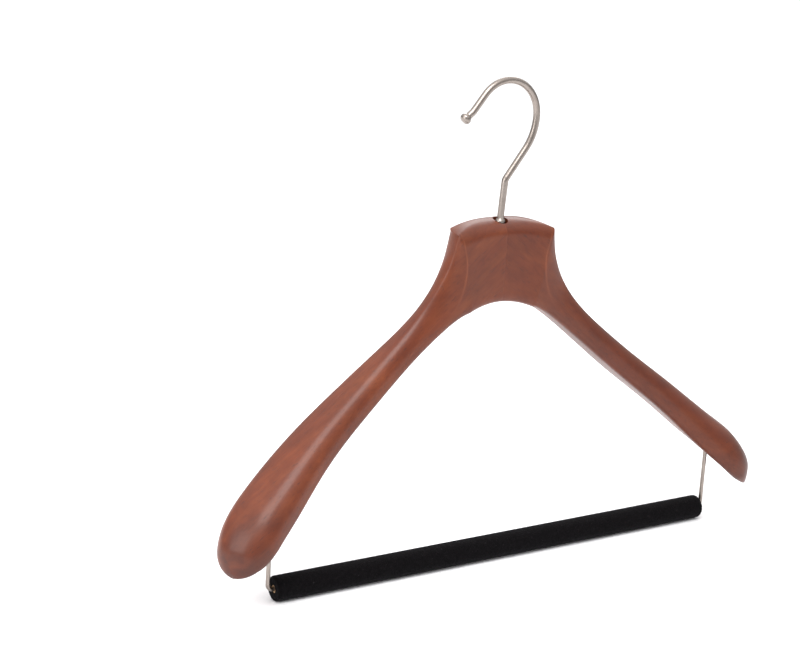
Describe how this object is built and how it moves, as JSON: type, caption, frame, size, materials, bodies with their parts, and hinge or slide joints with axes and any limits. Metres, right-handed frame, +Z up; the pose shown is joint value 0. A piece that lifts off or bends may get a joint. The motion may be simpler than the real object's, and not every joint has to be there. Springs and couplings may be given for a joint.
{
  "type": "clothes hanger",
  "caption": "Contoured wooden suit hanger with flared shoulders, a swivel wire hook and a flocked trouser bar held on two bent wires.",
  "frame": {"origin": "rail seat: the highest point inside the hook's crown, where a clothes rail bears, straight above the swivel axis", "axes": "+X along the hanger's width, away from the side on which the hook opens; +Y to the back, away from the bow of the shoulders; +Z up"},
  "size_m": [0.4434, 0.06, 0.3301],
  "materials": {
    "stained_wood": "reddish-brown stain under satin lacquer",
    "raw_wood": "plain beech, sealed",
    "satin_nickel": "satin nickel",
    "black_flock": "matt flocking"
  },
  "bodies": {
    "hook": {"hook_wire": "satin_nickel", "hook_collar": "satin_nickel", "hook_tip_ball": "satin_nickel", "end_washer": "satin_nickel"},
    "hanger": {"left_arm": "stained_wood", "right_arm": "stained_wood", "joint_dowel_upper": "raw_wood", "joint_dowel_lower": "raw_wood", "insert_sleeve": "satin_nickel", "bar_wire_left": "satin_nickel", "bar_wire_right": "satin_nickel"},
    "trouser_bar": {"bar_core": "raw_wood", "bar_flocking": "black_flock"}
  },
  "joints": [
    {"name": "hook_swivel", "type": "hinge", "parent": "hook", "child": "hanger", "pos_m": [0, 0, -0.09282], "axis": [0, 0, 1], "continuous": true},
    {"name": "bar_roll", "type": "hinge", "parent": "hanger", "child": "trouser_bar", "pos_m": [0, -0.02592, -0.31682], "axis": [1, 0, 0], "continuous": true}
  ]
}
